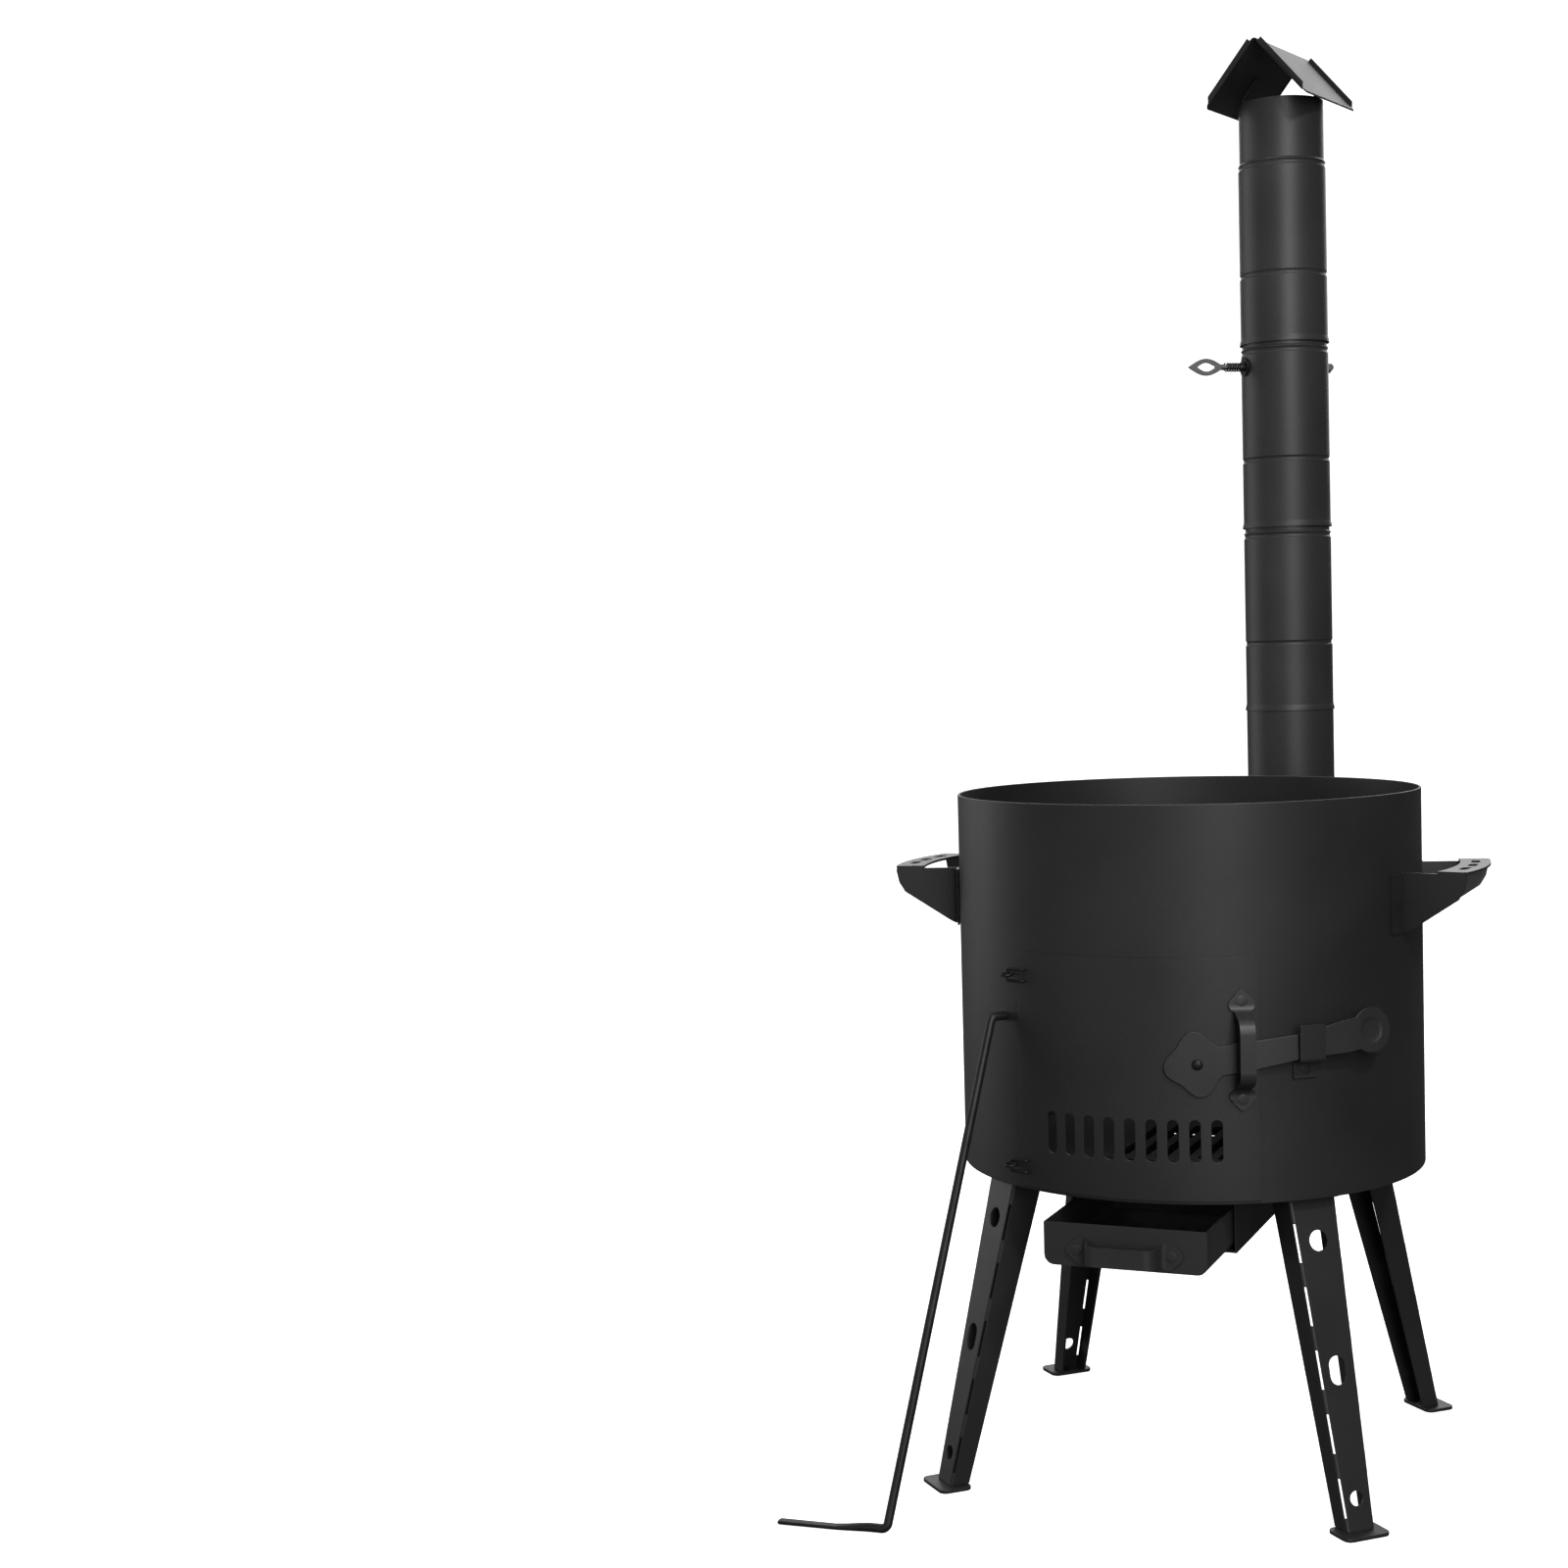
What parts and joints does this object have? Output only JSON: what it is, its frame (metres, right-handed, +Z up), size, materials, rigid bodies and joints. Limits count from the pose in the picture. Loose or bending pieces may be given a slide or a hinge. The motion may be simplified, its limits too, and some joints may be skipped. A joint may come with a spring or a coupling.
{
  "type": "cauldron stove",
  "caption": "Wood-fired outdoor stove: an open sheet-steel drum on splayed legs that carries a cauldron, with a latched curved door, ash drawer, damper, jointed flue and rain cap.",
  "frame": {"origin": "on the ground, under the middle of the whole stove with its flue, cap and leaning poker; the drum's axis is 8 mm to the right and 97 mm in front of it", "axes": "+Z up, -Y out of the fire door, +X to the right of someone facing the door; the flue stands behind the drum, towards +Y"},
  "size_m": [0.504, 0.7832, 1.2541],
  "materials": {
    "black_heat_paint": "satin-matte heat-resistant black paint on rolled sheet steel",
    "dark_steel": "dark bare steel wire, rod and bolts",
    "zinc_plate": "dull zinc plating on the damper's spindle, spring, washer and nut",
    "cast_iron": "rough dark cast iron"
  },
  "bodies": {
    "stove": {"drum": "black_heat_paint", "bottom_plate": "black_heat_paint", "keeper": "black_heat_paint", "handle_left": "black_heat_paint", "handle_right": "black_heat_paint", "drawer_housing": "black_heat_paint", "outlet_collar": "black_heat_paint", "flue_elbow": "black_heat_paint", "flue_section_lower": "black_heat_paint", "flue_section_middle": "black_heat_paint", "flue_section_upper": "black_heat_paint", "rain_cap": "black_heat_paint", "cap_strap_left": "black_heat_paint", "cap_strap_right": "black_heat_paint", "handle_left_rivet_front": "black_heat_paint", "handle_left_rivet_rear": "black_heat_paint", "handle_right_rivet_front": "black_heat_paint", "handle_right_rivet_rear": "black_heat_paint", "keeper_rivet": "black_heat_paint", "leg_rear_right": "black_heat_paint", "foot_plate_rear_right": "black_heat_paint", "mounting_plate_rear_right": "black_heat_paint", "leg_rear_left": "black_heat_paint", "foot_plate_rear_left": "black_heat_paint", "mounting_plate_rear_left": "black_heat_paint", "leg_front_left": "black_heat_paint", "foot_plate_front_left": "black_heat_paint", "mounting_plate_front_left": "black_heat_paint", "leg_front_right": "black_heat_paint", "foot_plate_front_right": "black_heat_paint", "mounting_plate_front_right": "black_heat_paint", "hinge_eye_lower": "dark_steel", "hinge_eye_upper": "dark_steel", "poker": "dark_steel", "leg_bolt_rear_right": "dark_steel", "leg_bolt_rear_left": "dark_steel", "leg_bolt_front_left": "dark_steel", "leg_bolt_front_right": "dark_steel", "fire_grate": "cast_iron"},
    "door": {"door": "black_heat_paint", "door_pull": "black_heat_paint", "door_pull_rivet_lower": "black_heat_paint", "door_pull_rivet_upper": "black_heat_paint", "latch_rivet": "dark_steel", "hinge_staple_lower": "dark_steel", "hinge_staple_upper": "dark_steel"},
    "latch": {"latch_bar": "black_heat_paint"},
    "drawer": {"ash_drawer": "black_heat_paint", "drawer_pull": "black_heat_paint", "drawer_pull_rivet_left": "black_heat_paint", "drawer_pull_rivet_right": "black_heat_paint"},
    "damper": {"damper_blade": "dark_steel", "damper_spindle": "zinc_plate", "damper_spring": "zinc_plate", "damper_washer": "zinc_plate", "damper_nut": "zinc_plate"}
  },
  "joints": [
    {"name": "door_hinge", "type": "hinge", "parent": "stove", "child": "door", "pos_m": [-0.09575, -0.26593, 0.343], "axis": [0, 0, -1], "range_deg": [0, 90]},
    {"name": "latch_pivot", "type": "hinge", "parent": "door", "child": "latch", "pos_m": [0.06006, -0.28213, 0.357], "axis": [0.2703, -0.9628, 0], "range_deg": [0, 20]},
    {"name": "drawer_slide", "type": "slide", "parent": "stove", "child": "drawer", "axis": [0, -1, 0], "range_m": [-0.083, 0.06]},
    {"name": "damper_turn", "type": "hinge", "parent": "stove", "child": "damper", "pos_m": [0.008, 0.3233, 0.9433], "axis": [0.7934, 0.6088, 0], "range_deg": [0, 90]}
  ]
}
